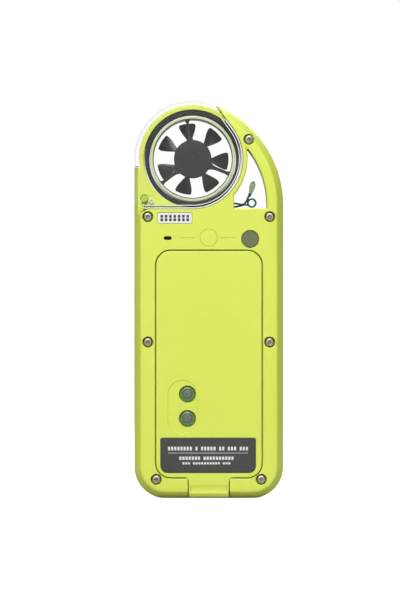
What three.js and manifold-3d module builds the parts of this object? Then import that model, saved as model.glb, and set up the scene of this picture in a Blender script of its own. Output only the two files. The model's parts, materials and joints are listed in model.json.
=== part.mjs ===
// Handheld weather meter, standing on its end: +Z up along the case, +X across it and the back at -Y.
// Millimetres. The origin is at the middle of the flat end that it stands on.
import * as THREE from 'three';
import { mergeVertices } from 'three/addons/utils/BufferGeometryUtils.js';
import Module from 'manifold-3d';

// ---- driving dimensions ----
const HALF_WIDTH = 23.75;
const HALF_DEPTH = 14;
const EDGE_ROUND = 2.5; // rounding between the faces and the sides
const CORNER_ROUND = 9.8; // lower corners of the outline
const CURVE_STEPS = 6;
const SEAM = 0.3; // gap between neighbouring pieces
const WALL = 2.4;
const SPLIT_Y = 5; // plane where the two case shells meet
const SPLIT_GAP = 0.1;

const IMPELLER = { x: -5.15, z: 108.4, opening: 12.6, bore: 15.6 };
const HEAD_RADIUS = 18.6;
const SHOULDER = { x: -10.65, z: 93.59, radius: 34.4 };

const COVER = {
  thickness: 1.3, rimThickness: 1.2, radius: 16, rimEnd: 106, tangentDegrees: 36, swingDegrees: 122,
};
const PIVOT = { x: -20.5, z: 95.65, corner: 3.25, pin: 1.1 };
const COVER_INNER_Y = HALF_DEPTH - COVER.thickness;
const RECESS_Y = COVER_INNER_Y - SEAM;

const ROOM = { half: HALF_WIDTH - WALL, low: WALL, high: 90.8, round: 5, top: 2, back: -12, front: 11.6 };
const DOOR = { left: -16.9, right: 17, low: 6.5, high: 79.05, round: 4.7, thickness: 1.8 };
const DOOR_LEDGE_Y = -11.5;
const TRAY_FLOOR_Y = 3.3;
const HINGE = { y: -11.5, z: 2.5, radius: 2.5, half: 6.4, pin: 0.8, pinHalf: 9.4 };
const PORTS = { x: -6.8, z: [33.2, 25.4], radius: 2.8, depth: 1.1, lens: 1.6 };
const CELL = { x: 7, y: -4.2, radius: 7.25, low: 14.5, high: 65 };

const SCREW = { counterbore: 1.75, head: 1.35, shank: 0.8, headY: -13.5, seatY: -12.6, tipY: 9.5 };
const SCREW_PLACES = {
  head: [12.8, 114.5],
  upper_left: [-19.45, 89.8],
  upper_right: [19.45, 89.8],
  middle_left: [-19.45, 49.8],
  middle_right: [19.45, 49.8],
  lower_left: [-16.75, 6],
  lower_right: [16.75, 6],
};
const BOSS_RADIUS = 3.2;

const WINDOW = { half: 17.4, low: 54.2, high: 86.4, round: 3, back: 12.7, front: 13.8 };
const KEYPAD = { half: 17, low: 7.5, high: 51.5, floorY: 13, capTop: 13.9, flangeBack: 10.5, flangeFront: 11.3 };
const DIAL = { z: 36, select: 4.6, inner: 6.1, outer: 12.3, halfDegrees: 37 };
const BOARD = { back: 6.7, front: 8.3 };

const AXLE_RADIUS = 0.5;
const BEARING = { inner: 0.75, outer: 1.9 };
const CARRIER = { inner: 8.4, outer: 10.8 };
const STRUT_DEGREES = [98, -22, -142];
const LEAD_HEIGHTS = { upper: 94.3, lower: 93.1 };
const LEAD_RADIUS = 0.24;
const WINDOW_LEFT = 8.1; // left edge of the temperature sensor's window

const COLOURS = {
  yellowGreen: 0xc9dc4a, clear: 0xe6ecd8, clearGreen: 0xc4d2a0, black: 0x2c2c2e, darkGrey: 0x3e3d42,
  rubber: 0x232325, steel: 0xb4b0a4, nickel: 0x92846a, white: 0xf2f2ee, membrane: 0x647045,
  board: 0x1f6b3a, glass: 0x9fae9a, teal: 0x145a50, olive: 0x8f9a5c, cell: 0x4a4d52, brass: 0xc8a24a,
};

const wasm = await Module();
wasm.setup();
const radians = THREE.MathUtils.degToRad;

// ---- solids: plain helpers ----
function solid(geometry) {
  const bare = geometry.clone();
  bare.deleteAttribute('normal');
  bare.deleteAttribute('uv');
  const merged = mergeVertices(bare, 1e-5);
  const corners = merged.index.array;
  const kept = [];
  for (let i = 0; i < corners.length; i += 3) {
    const [a, b, c] = [corners[i], corners[i + 1], corners[i + 2]];
    if (a !== b && b !== c && c !== a) kept.push(a, b, c);
  }
  return new wasm.Manifold(new wasm.Mesh({
    numProp: 3,
    vertProperties: new Float32Array(merged.attributes.position.array),
    triVerts: new Uint32Array(kept),
  }));
}

function toGeometry(shape) {
  const mesh = shape.getMesh();
  const geometry = new THREE.BufferGeometry();
  geometry.setAttribute('position', new THREE.BufferAttribute(mesh.vertProperties, 3));
  geometry.setIndex(new THREE.BufferAttribute(mesh.triVerts, 1));
  geometry.computeVertexNormals();
  return geometry;
}

// An outline drawn in (x, z), pushed along Y from yLow to yHigh.
function prism(outline, yLow, yHigh, curveSegments = 2) {
  const geometry = new THREE.ExtrudeGeometry(outline, {
    depth: yHigh - yLow, bevelEnabled: false, curveSegments,
  });
  geometry.rotateX(Math.PI / 2);
  geometry.translate(0, yHigh, 0);
  return solid(geometry);
}

function cylinderY(radius, x, z, yLow, yHigh, sides = 32) {
  const geometry = new THREE.CylinderGeometry(radius, radius, yHigh - yLow, sides);
  geometry.translate(x, (yLow + yHigh) / 2, z);
  return solid(geometry);
}

function cylinderX(radius, y, z, half, sides = 24) {
  const geometry = new THREE.CylinderGeometry(radius, radius, 2 * half, sides);
  geometry.rotateZ(Math.PI / 2);
  geometry.translate(0, y, z);
  return solid(geometry);
}

function block(xLow, xHigh, yLow, yHigh, zLow, zHigh) {
  const geometry = new THREE.BoxGeometry(xHigh - xLow, yHigh - yLow, zHigh - zLow);
  geometry.translate((xLow + xHigh) / 2, (yLow + yHigh) / 2, (zLow + zHigh) / 2);
  return solid(geometry);
}

function ringY(inner, outer, x, z, yLow, yHigh, sides = 48) {
  return cylinderY(outer, x, z, yLow, yHigh, sides)
    .subtract(cylinderY(inner, x, z, yLow - 1, yHigh + 1, sides));
}

// ---- outlines, all in (x, z) ----
function roundedRect(xLow, xHigh, zLow, zHigh, radius, top = radius) {
  const outline = new THREE.Shape();
  const quarter = Math.PI / 2;
  outline.absarc(xHigh - radius, zLow + radius, radius, -quarter, 0);
  outline.absarc(xHigh - top, zHigh - top, top, 0, quarter);
  outline.absarc(xLow + top, zHigh - top, top, quarter, 2 * quarter);
  outline.absarc(xLow + radius, zLow + radius, radius, 2 * quarter, 3 * quarter);
  return outline;
}

function bodyOutline() {
  const outline = new THREE.Shape();
  const side = HALF_WIDTH - CORNER_ROUND;
  const tangent = Math.atan2(IMPELLER.z - SHOULDER.z, IMPELLER.x - SHOULDER.x);
  outline.absarc(side, CORNER_ROUND, CORNER_ROUND, -Math.PI / 2, 0);
  outline.absarc(SHOULDER.x, SHOULDER.z, SHOULDER.radius, 0, tangent);
  outline.absarc(IMPELLER.x, IMPELLER.z, HEAD_RADIUS, tangent, Math.PI);
  outline.absarc(-side, CORNER_ROUND, CORNER_ROUND, Math.PI, 1.5 * Math.PI);
  return outline;
}

function roomOutline(grow) {
  const { half, low, high, round, top } = ROOM;
  return roundedRect(-half - grow, half + grow, low - grow, high + grow, round + grow, top + grow);
}

function doorOutline(inset) {
  const { left, right, low, high, round } = DOOR;
  return roundedRect(left + inset, right - inset, low + inset, high - inset, round - inset);
}

// The cover's edge: under the impeller, round its right side, then straight off over the shoulder.
function startCoverEdge(gap) {
  const outline = new THREE.Shape();
  const tangent = radians(COVER.tangentDegrees);
  const radius = COVER.radius + gap;
  outline.absarc(IMPELLER.x, IMPELLER.z, radius, -Math.PI / 2, tangent);
  const beyond = 22;
  outline.lineTo(
    IMPELLER.x + radius * Math.cos(tangent) - beyond * Math.sin(tangent),
    IMPELLER.z + radius * Math.sin(tangent) + beyond * Math.cos(tangent),
  );
  outline.lineTo(-HALF_WIDTH - 10, IMPELLER.z + HEAD_RADIUS + 10);
  return outline;
}

function coverOutline() {
  const outline = startCoverEdge(0);
  outline.lineTo(-HALF_WIDTH - 10, PIVOT.z);
  outline.absarc(PIVOT.x, PIVOT.z, PIVOT.corner, Math.PI, 1.5 * Math.PI);
  return outline;
}

// The case's step round the cover, relieved below the pivot so that the cover's left edge swings past.
function coverRecessOutline() {
  const outline = startCoverEdge(SEAM);
  const swing = radians(COVER.swingDegrees);
  const reach = PIVOT.corner + SEAM;
  const along = new THREE.Vector2(-Math.sin(swing), Math.cos(swing));
  const touch = new THREE.Vector2(PIVOT.x - reach * Math.cos(swing), PIVOT.z - reach * Math.sin(swing));
  const floor = PIVOT.z - reach;
  const outside = -HALF_WIDTH - 10;
  outline.lineTo(outside, touch.y + along.y * (outside - touch.x) / along.x);
  outline.lineTo(touch.x + along.x * (floor - touch.y) / along.y, floor);
  return outline;
}

// The opening beside the impeller: between its bore and the outer band of the case.
function sensorWindowOutline() {
  const low = 92.5;
  const left = 8.1;
  const inner = 17.55;
  const outer = 29.2;
  const gapX = IMPELLER.x - SHOULDER.x;
  const gapZ = IMPELLER.z - SHOULDER.z;
  const apart = Math.hypot(gapX, gapZ);
  const lean = Math.atan2(gapZ, gapX);
  const apexFromShoulder = lean - Math.acos((outer ** 2 - inner ** 2 + apart ** 2) / (2 * apart * outer));
  const apexX = SHOULDER.x + outer * Math.cos(apexFromShoulder);
  const apexZ = SHOULDER.z + outer * Math.sin(apexFromShoulder);
  const apexFromImpeller = Math.atan2(apexZ - IMPELLER.z, apexX - IMPELLER.x);
  const outline = new THREE.Shape();
  outline.absarc(SHOULDER.x, SHOULDER.z, outer, Math.asin((low - SHOULDER.z) / outer), apexFromShoulder);
  outline.absarc(IMPELLER.x, IMPELLER.z, inner, apexFromImpeller, -Math.acos((left - IMPELLER.x) / inner), true);
  outline.lineTo(left, low);
  return outline;
}

// ---- the two case shells ----
function caseBlock() {
  const geometry = new THREE.ExtrudeGeometry(bodyOutline(), {
    depth: 2 * (HALF_DEPTH - EDGE_ROUND),
    bevelThickness: EDGE_ROUND,
    bevelSize: EDGE_ROUND,
    bevelOffset: -EDGE_ROUND,
    bevelSegments: 2,
    curveSegments: CURVE_STEPS,
  });
  geometry.rotateX(Math.PI / 2);
  geometry.translate(0, HALF_DEPTH - EDGE_ROUND, 0);
  return solid(geometry);
}

// Everything cut through both shells: impeller bore, sensor window, cover recess, pivot and screws.
function throughCuts() {
  const far = HALF_DEPTH + 1;
  const rimInner = HEAD_RADIUS - COVER.rimThickness - SEAM;
  const rimStep = COVER.rimEnd - 2 * SEAM;
  let cuts = cylinderY(IMPELLER.bore, IMPELLER.x, IMPELLER.z, -far, far, 48)
    .add(prism(sensorWindowOutline(), -far, far, CURVE_STEPS / 2))
    .add(prism(coverRecessOutline(), -far, -RECESS_Y, CURVE_STEPS))
    .add(prism(coverRecessOutline(), RECESS_Y, far, CURVE_STEPS))
    .add(prism(coverRecessOutline(), -far, far, CURVE_STEPS)
      .subtract(cylinderY(rimInner, IMPELLER.x, IMPELLER.z, -2 * far, 2 * far, 48))
      .subtract(block(-50, 50, -50, 50, 0, rimStep)))
    .add(cylinderY(PIVOT.pin + SEAM, PIVOT.x, PIVOT.z, -far, far, 24));
  for (const [x, z] of Object.values(SCREW_PLACES)) {
    cuts = cuts
      .add(cylinderY(SCREW.counterbore, x, z, -far, SCREW.seatY + SEAM, 16))
      .add(cylinderY(SCREW.shank + SEAM, x, z, -far, SCREW.tipY + SEAM, 8));
  }
  return cuts;
}

// The room inside a shell, less the screw bosses that stand in it.
function room(yLow, yHigh) {
  let space = prism(roomOutline(0), yLow, yHigh);
  for (const [x, z] of Object.values(SCREW_PLACES)) {
    space = space.subtract(cylinderY(BOSS_RADIUS, x, z, yLow - 1, yHigh + 1, 12));
  }
  return space;
}

function gasketGroove() {
  const half = 0.9;
  return prism(roomOutline(1.2), SPLIT_Y - half, SPLIT_Y + half)
    .subtract(prism(roomOutline(-0.1), SPLIT_Y - 2, SPLIT_Y + 2));
}

function rearCase(outer, cuts) {
  const trayBack = prism(doorOutline(-1.5), -HALF_DEPTH, TRAY_FLOOR_Y + 1.2);
  const hingeBlock = block(-10.5, 10.5, -HALF_DEPTH, -7.2, 0, 9);
  const cellEndRib = block(-0.6, 20, -9, TRAY_FLOOR_Y + 1, 67, 68.4);
  const pocket = HINGE.half + SEAM;
  const hingePocket = block(-pocket, pocket, -20, HINGE.y + HINGE.radius + SEAM, -1, 5.4)
    .add(block(-pocket, pocket, -20, DOOR_LEDGE_Y, 5.3, DOOR.low));
  return outer
    .subtract(block(-50, 50, SPLIT_Y - SPLIT_GAP, 50, -1, 150))
    .subtract(cuts)
    .subtract(room(ROOM.back, SPLIT_Y + 1).subtract(trayBack).subtract(hingeBlock))
    .subtract(gasketGroove())
    .subtract(prism(doorOutline(-SEAM), -20, DOOR_LEDGE_Y))
    .subtract(prism(doorOutline(2.4), DOOR_LEDGE_Y - 1, TRAY_FLOOR_Y).subtract(cellEndRib))
    .subtract(hingePocket)
    .subtract(cylinderX(HINGE.pin + SEAM, HINGE.y, HINGE.z, HINGE.pinHalf + SEAM))
    .subtract(prism(roundedRect(-14.35, -11.85, 82.4, 83.6, 0.59), -20, ROOM.back + 1))
    .subtract(cylinderY(2.9, 13.2, 82.7, -20, -12.9, 32))
    .subtract(cylinderY(1, 13.2, 82.7, -20, ROOM.back + 1, 16))
    .subtract(prism(roundedRect(-16.45, -5.25, 87.6, 91.2, 0.8), -20, -13.7))
    .subtract(leadHole(LEAD_HEIGHTS.upper))
    .subtract(leadHole(LEAD_HEIGHTS.lower));
}

function frontCase(outer, cuts) {
  const { half, low, high, round, back } = WINDOW;
  let shell = outer
    .subtract(block(-50, 50, -50, SPLIT_Y + SPLIT_GAP, -1, 150))
    .subtract(cuts)
    .subtract(room(SPLIT_Y - 1, ROOM.front))
    .subtract(gasketGroove())
    .subtract(prism(roundedRect(-half - SEAM, half + SEAM, low - SEAM, high + SEAM, round), back - 0.2, 20))
    .subtract(prism(roundedRect(-half + 2, half - 2, low + 2, high - 2, round - 1), ROOM.front - 1, 20))
    .subtract(prism(roundedRect(-KEYPAD.half, KEYPAD.half, KEYPAD.low, KEYPAD.high, 5), KEYPAD.floorY, 20));
  for (const outline of Object.values(buttonOutlines(SEAM))) {
    shell = shell.subtract(prism(outline, ROOM.front - 1, 20, 3));
  }
  return shell;
}

// ---- keypad ----
function sectorOutline(middle, grow) {
  const outline = new THREE.Shape();
  const outer = DIAL.outer + grow;
  const inner = DIAL.inner - grow;
  const outerHalf = radians(DIAL.halfDegrees) + grow / outer;
  const innerHalf = radians(DIAL.halfDegrees) + grow / inner;
  outline.absarc(0, DIAL.z, outer, middle - outerHalf, middle + outerHalf);
  outline.absarc(0, DIAL.z, inner, middle + innerHalf, middle - innerHalf, true);
  return outline;
}

function buttonOutlines(grow) {
  const outlines = {};
  const round = DIAL.select + grow;
  outlines.select_button = roundedRect(-round, round, DIAL.z - round, DIAL.z + round, round - 0.01);
  const directions = ['right', 'up', 'left', 'down'];
  directions.forEach((name, index) => {
    outlines[`${name}_button`] = sectorOutline(index * Math.PI / 2, grow);
  });
  const lowerRow = { backlight: -11, power: 0, capture: 11 };
  for (const [name, x] of Object.entries(lowerRow)) {
    const [halfX, halfZ, z] = [3.8 + grow, 2.5 + grow, 15.6];
    outlines[`${name}_button`] = roundedRect(x - halfX, x + halfX, z - halfZ, z + halfZ, halfZ - 0.01);
  }
  return outlines;
}

function button(name) {
  const cap = prism(buttonOutlines(0)[name], KEYPAD.flangeFront - 0.1, KEYPAD.capTop, 3);
  return cap.add(prism(buttonOutlines(0.6)[name], KEYPAD.flangeBack, KEYPAD.flangeFront, 3));
}

// ---- battery door and what it closes on ----
function batteryDoor() {
  const inner = DOOR.thickness - HALF_DEPTH;
  const slope = radians(56); // the door's lower edge leans back, so that it clears the case as it swings
  const slant = solid(new THREE.BoxGeometry(60, 6, 6).translate(0, 3, -3).rotateX(slope)
    .translate(0, SEAM - HALF_DEPTH, DOOR.low));
  const keepTab = block(-HINGE.half, HINGE.half, -20, 0, 0, 20);
  const tab = block(-HINGE.half, HINGE.half, -HALF_DEPTH, inner, HINGE.z, DOOR.low + 3)
    .add(cylinderX(HINGE.radius, HINGE.y, HINGE.z, HINGE.half, 32));
  let door = prism(doorOutline(0), -HALF_DEPTH, inner)
    .subtract(slant.subtract(keepTab))
    .add(tab)
    .subtract(cylinderX(HINGE.pin + SEAM, HINGE.y, HINGE.z, HINGE.half + 1))
    .subtract(prism(infoLabelOutline(-0.15), -20, 0.3 - HALF_DEPTH));
  for (const z of PORTS.z) {
    door = door
      .subtract(cylinderY(PORTS.radius, PORTS.x, z, -20, PORTS.depth - HALF_DEPTH, 32))
      .subtract(cylinderY(PORTS.lens + SEAM, PORTS.x, z, -20, 0, 24));
  }
  return door;
}

function infoLabelOutline(inset) {
  const outline = new THREE.Shape();
  const [left, right, low, high] = [-15.4 + inset, 15 - inset, 8.1 + inset, 19.2 - inset];
  const corner = 2.3;
  outline.absarc(right - corner, low + corner, corner, -Math.PI / 2, 0);
  outline.lineTo(right, high);
  outline.lineTo(left, high);
  outline.absarc(left + corner, low + corner, corner, Math.PI, 1.5 * Math.PI);
  return outline;
}

function cellBody() {
  const { radius, low, high } = CELL;
  const profile = [[0, low], [radius - 0.6, low], [radius, low + 0.6], [radius, high - 1.6],
    [radius - 0.6, high - 1], [2.75, high - 1], [2.75, high], [0, high]];
  const geometry = new THREE.LatheGeometry(profile.map(([r, h]) => new THREE.Vector2(r, h)), 24);
  geometry.rotateX(Math.PI / 2);
  geometry.scale(1, -1, 1);
  return solid(flipFaces(geometry)).translate(CELL.x, CELL.y, 0);
}

// Turns every triangle over, for a geometry that a mirror has turned inside out.
function flipFaces(geometry) {
  const corners = geometry.index.array;
  for (let i = 0; i < corners.length; i += 3) {
    [corners[i], corners[i + 1]] = [corners[i + 1], corners[i]];
  }
  return geometry;
}

class Helix extends THREE.Curve {
  constructor(radius, turns, low, high) {
    super();
    this.shape = { radius, turns, low, high };
  }

  getPoint(t, target = new THREE.Vector3()) {
    const { radius, turns, low, high } = this.shape;
    const angle = 2 * Math.PI * turns * t;
    const taper = radius * (1 - 0.35 * t);
    return target.set(taper * Math.cos(angle), taper * Math.sin(angle), low + (high - low) * t);
  }
}

function wireSection(radius, sides) {
  const section = new THREE.Shape();
  for (let i = 0; i < sides; i += 1) {
    const angle = 2 * Math.PI * i / sides;
    const point = [radius * Math.cos(angle), radius * Math.sin(angle)];
    if (i === 0) section.moveTo(...point);
    else section.lineTo(...point);
  }
  return section;
}

function wire(curve, radius, steps, sides) {
  return solid(new THREE.ExtrudeGeometry(wireSection(radius, sides), { extrudePath: curve, steps }));
}

// ---- impeller ----
function impellerRotor() {
  const blades = 7;
  const sweep = radians(25.7);
  const [hub, hubEnd, tip, halfChord, thickness] = [5.7, 3.6, 11.6, 4.5, 0.7];
  const profile = [[0, -7.8], [hubEnd, -7.8], [hub, -5.4], [hub, 5.4], [hubEnd, 7.8], [0, 7.8]];
  let rotor = solid(new THREE.LatheGeometry(profile.map(([r, y]) => new THREE.Vector2(r, y)), 32));
  for (let i = 0; i < blades; i += 1) {
    const geometry = new THREE.BoxGeometry(tip - 4.5, 2 * halfChord, thickness, 1, 4, 1);
    geometry.translate((tip + 4.5) / 2, 0, 0);
    const place = geometry.attributes.position;
    const point = new THREE.Vector3();
    for (let n = 0; n < place.count; n += 1) {
      point.fromBufferAttribute(place, n);
      point.applyAxisAngle(new THREE.Vector3(0, 1, 0), sweep * point.y / (2 * halfChord));
      place.setXYZ(n, point.x, point.y, point.z);
    }
    geometry.rotateY(-radians(48) - 2 * Math.PI * i / blades);
    rotor = rotor.add(solid(geometry));
  }
  return rotor
    .subtract(cylinderY(AXLE_RADIUS + SEAM, 0, 0, -9, 9, 16))
    .subtract(cylinderY(3.1, 0, 0, 5.4, 9, 32));
}

// A bearing carrier: a hub held by three struts whose ends sit in notches of the housing.
function strutBar(reach, halfWidth, yLow, yHigh, angle) {
  const geometry = new THREE.BoxGeometry(reach - 4, yHigh - yLow, 2 * halfWidth);
  geometry.translate((reach + 4) / 2, (yLow + yHigh) / 2, 0);
  geometry.rotateY(-angle);
  return solid(geometry);
}

function bearingCarrier(yLow, yHigh) {
  let carrier = cylinderY(6, 0, 0, yLow, yHigh, 40);
  for (const degrees of STRUT_DEGREES) {
    carrier = carrier.add(strutBar(13.1, 0.4, yLow + 0.2, yHigh - 0.2, radians(degrees)));
  }
  return carrier.subtract(cylinderY(BEARING.outer + 0.2, 0, 0, yLow - 1, yHigh + 1, 24));
}

function impellerHousing() {
  const end = 12.3;
  let housing = ringY(IMPELLER.opening, 13.65, 0, 0, -end, end, 48);
  for (const degrees of STRUT_DEGREES) {
    const notch = strutBar(13.35, 0.7, CARRIER.inner - 0.3, end + 1, radians(degrees));
    housing = housing.subtract(notch).subtract(notch.mirror([0, 1, 0]));
  }
  return housing;
}

// ---- temperature sensor, on its own wires in the window ----

function leadHole(z) {
  const geometry = new THREE.CylinderGeometry(0.55, 0.55, 4, 12);
  geometry.rotateZ(Math.PI / 2);
  geometry.translate(WINDOW_LEFT - 1, 0, z);
  return solid(geometry);
}

function leadUpper() {
  const points = [[6.6, 0, 94.3], [8.6, 0, 94.3], [10.4, 0, 94.2], [11.4, 0.3, 94.6], [12.2, 0.45, 95.4],
    [12.75, 0.45, 96.1]];
  return wire(new THREE.CatmullRomCurve3(points.map((p) => new THREE.Vector3(...p))), LEAD_RADIUS, 14, 6);
}

function leadLower() {
  const points = [[6.6, 0, 93.1], [8.6, 0, 93.1], [10.4, -0.1, 93.35], [11.9, -0.4, 93.5]];
  const [loopX, loopZ, loopRadius] = [13.9, 94.45, 1.4];
  for (let degrees = 225; degrees <= 510; degrees += 30) {
    const angle = radians(degrees);
    const depth = -0.45 - 0.5 * (degrees - 225) / 285;
    points.push([loopX + loopRadius * Math.cos(angle), depth, loopZ + loopRadius * Math.sin(angle)]);
  }
  points.push([12.75, -0.75, 95.6], [13.05, -0.4, 96.3]);
  return wire(new THREE.CatmullRomCurve3(points.map((p) => new THREE.Vector3(...p))), LEAD_RADIUS, 40, 6);
}

function sensorBead() {
  const profile = [[0, 0], [0.35, 0.05], [0.6, 0.5], [0.85, 1.6], [0.95, 2.9], [0.8, 3.9], [0.45, 4.5], [0, 4.7]];
  const geometry = new THREE.LatheGeometry(profile.map(([r, h]) => new THREE.Vector2(r, h)), 16);
  geometry.rotateX(Math.PI / 2);
  geometry.rotateY(radians(14));
  return solid(geometry).translate(13.3, 0, 96.75);
}

// ---- assembly ----
const meter = new THREE.Group();

function piece(name, shape, colour, roughness = 0.5, metalness = 0, opacity = 1, parent = meter) {
  const material = new THREE.MeshStandardMaterial({ color: colour, roughness, metalness });
  material.transparent = opacity < 1;
  material.opacity = opacity;
  const mesh = new THREE.Mesh(toGeometry(shape), material);
  mesh.name = name;
  parent.add(mesh);
}

const outer = caseBlock();
const cuts = throughCuts();
piece('rear_case', rearCase(outer, cuts), COLOURS.yellowGreen);
piece('front_case', frontCase(outer, cuts), COLOURS.yellowGreen);
piece('case_gasket', prism(roomOutline(0.95), SPLIT_Y - 0.6, SPLIT_Y + 0.6)
  .subtract(prism(roomOutline(0.15), 0, 10)), COLOURS.rubber, 0.8);
for (const [name, [x, z]] of Object.entries(SCREW_PLACES)) {
  const screw = cylinderY(SCREW.head, x, z, SCREW.headY, SCREW.seatY, 14)
    .add(cylinderY(SCREW.shank, x, z, SCREW.seatY - 0.1, SCREW.tipY, 8))
    .subtract(cylinderY(0.55, x, z, SCREW.headY - 1, SCREW.headY + 0.6, 6));
  piece(`case_screw_${name}`, screw, COLOURS.nickel, 0.35, 0.9);
}

piece('battery_door', batteryDoor(), COLOURS.yellowGreen);
piece('door_gasket', prism(doorOutline(0.9), -12, -11.7)
  .subtract(prism(doorOutline(2), -15, 0)), COLOURS.rubber, 0.8);
piece('door_hinge_pin', cylinderX(HINGE.pin, HINGE.y, HINGE.z, HINGE.pinHalf, 16), COLOURS.steel, 0.3, 0.9);
piece('info_label', prism(infoLabelOutline(0), -13.99, -13.84), COLOURS.black, 0.6);
PORTS.z.forEach((z, index) => {
  const lens = cylinderY(PORTS.lens, PORTS.x, z, PORTS.depth - 0.2 - HALF_DEPTH, -12.25, 24);
  piece(['data_window_upper', 'data_window_lower'][index], lens, COLOURS.darkGrey, 0.2);
});
piece('data_port_module', block(-11, -2.6, -11.2, 3, 20, 38.6), COLOURS.black, 0.6);

piece('aa_cell', cellBody(), COLOURS.cell, 0.3, 0.4);
piece('battery_spring', wire(new Helix(4.2, 3.5, 9.9, 13.6), 0.35, 44, 5)
  .translate(CELL.x, CELL.y, 0), COLOURS.steel, 0.3, 0.9);
piece('battery_contact_plate', block(CELL.x - 4, CELL.x + 4, -8.6, 0.5, 65.5, 66.2)
  .add(block(CELL.x - 1, CELL.x + 1, 0.3, 3, 65.5, 66.2)), COLOURS.brass, 0.3, 0.9);

piece('serial_label', prism(roundedRect(-16.3, -5.4, 87.75, 91.05, 0.7), -13.99, -13.84), COLOURS.white, 0.6);
piece('pressure_vent_membrane', cylinderY(2.65, 13.2, 82.7, -13.75, -13.1, 32), COLOURS.membrane, 0.8);
piece('sensor_board', block(-15.8, 15.8, -9, -8, 81, 90.2), COLOURS.board, 0.5);
piece('humidity_sensor', block(-14.6, -11.6, -11.6, -9.2, 81.6, 84.6), COLOURS.black, 0.6);
piece('pressure_sensor', block(11.7, 14.7, -11, -9.2, 81.4, 84.4), COLOURS.steel, 0.4, 0.6);

const coverBody = outer.intersect(prism(coverOutline(), -20, 20, CURVE_STEPS))
  .subtract(block(-50, 50, -COVER_INNER_Y, COVER_INNER_Y, 0, 150)
    .subtract(block(-50, 50, -50, 50, COVER.rimEnd, 150)
      .subtract(cylinderY(HEAD_RADIUS - COVER.rimThickness, IMPELLER.x, IMPELLER.z, -50, 50, 64))))
  .subtract(cylinderY(PIVOT.pin + SEAM, PIVOT.x, PIVOT.z, -20, 20, 24));
piece('flip_cover', coverBody, COLOURS.clear, 0.1, 0, 0.35);
piece('cover_pivot_pin', cylinderY(PIVOT.pin, PIVOT.x, PIVOT.z, -HALF_DEPTH, HALF_DEPTH, 20),
  COLOURS.yellowGreen, 0.4);

const impeller = new THREE.Group();
impeller.position.set(IMPELLER.x, 0, IMPELLER.z);
meter.add(impeller);
piece('impeller_seal', ringY(13.95, 15.3, 0, 0, -12.2, 12.2, 48), COLOURS.black, 0.7, 0, 1, impeller);
piece('impeller_housing', impellerHousing(), COLOURS.clearGreen, 0.2, 0, 0.6, impeller);
const carrier = bearingCarrier(CARRIER.inner, CARRIER.outer);
const bearing = ringY(BEARING.inner, BEARING.outer, 0, 0, CARRIER.inner + 0.2, CARRIER.outer - 0.2, 20);
piece('bearing_carrier_rear', carrier.mirror([0, 1, 0]), COLOURS.darkGrey, 0.5, 0, 1, impeller);
piece('bearing_carrier_front', carrier, COLOURS.darkGrey, 0.5, 0, 1, impeller);
piece('axle_bearing_rear', bearing.mirror([0, 1, 0]), COLOURS.steel, 0.2, 0.3, 1, impeller);
piece('axle_bearing_front', bearing, COLOURS.steel, 0.2, 0.3, 1, impeller);
piece('impeller_rotor', impellerRotor(), COLOURS.darkGrey, 0.45, 0, 1, impeller);
piece('impeller_axle', cylinderY(AXLE_RADIUS, 0, 0, -10.3, 10.3, 12), COLOURS.steel, 0.2, 0.9, 1, impeller);
piece('rotor_magnet', ringY(1.2, 2.8, 0, 0, 5.7, 7.5, 24), COLOURS.steel, 0.4, 0.7, 1, impeller);

piece('temperature_sensor_bead', sensorBead(), COLOURS.olive, 0.3);
piece('temperature_lead_upper', leadUpper(), COLOURS.teal, 0.5);
piece('temperature_lead_lower', leadLower(), COLOURS.teal, 0.5);

const boardNotches = (shape) => Object.values(SCREW_PLACES).reduce(
  (rest, [x, z]) => rest.subtract(cylinderY(BOSS_RADIUS + 0.4, x, z, 0, 20, 12)), shape,
);
piece('main_circuit_board', boardNotches(prism(roomOutline(-0.6), BOARD.back, BOARD.front)), COLOURS.board);
piece('lcd_backlight', prism(roundedRect(-16.2, 16.2, 55.4, 85.2, 0.6), 8.6, 9.6), COLOURS.white);
piece('lcd_panel', prism(roundedRect(-16.9, 16.9, 54.8, 85.8, 0.6), 9.9, 11.3), COLOURS.glass, 0.2);
piece('display_window', prism(roundedRect(-WINDOW.half, WINDOW.half, WINDOW.low, WINDOW.high, WINDOW.round - 0.3),
  WINDOW.back, WINDOW.front), COLOURS.clear, 0.05, 0, 0.3);
piece('keypad_mat', prism(roundedRect(-15.7, 15.7, 9.8, 52.6, 1.5), 8.6, 9.4), COLOURS.rubber, 0.8);
for (const name of Object.keys(buttonOutlines(0))) {
  piece(name, button(name), COLOURS.darkGrey, 0.6);
}

export default meter;
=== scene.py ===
"""Looks of the handheld weather meter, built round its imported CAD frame."""
import json
import math

import bpy
import bmesh
from mathutils import Matrix, Vector

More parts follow.
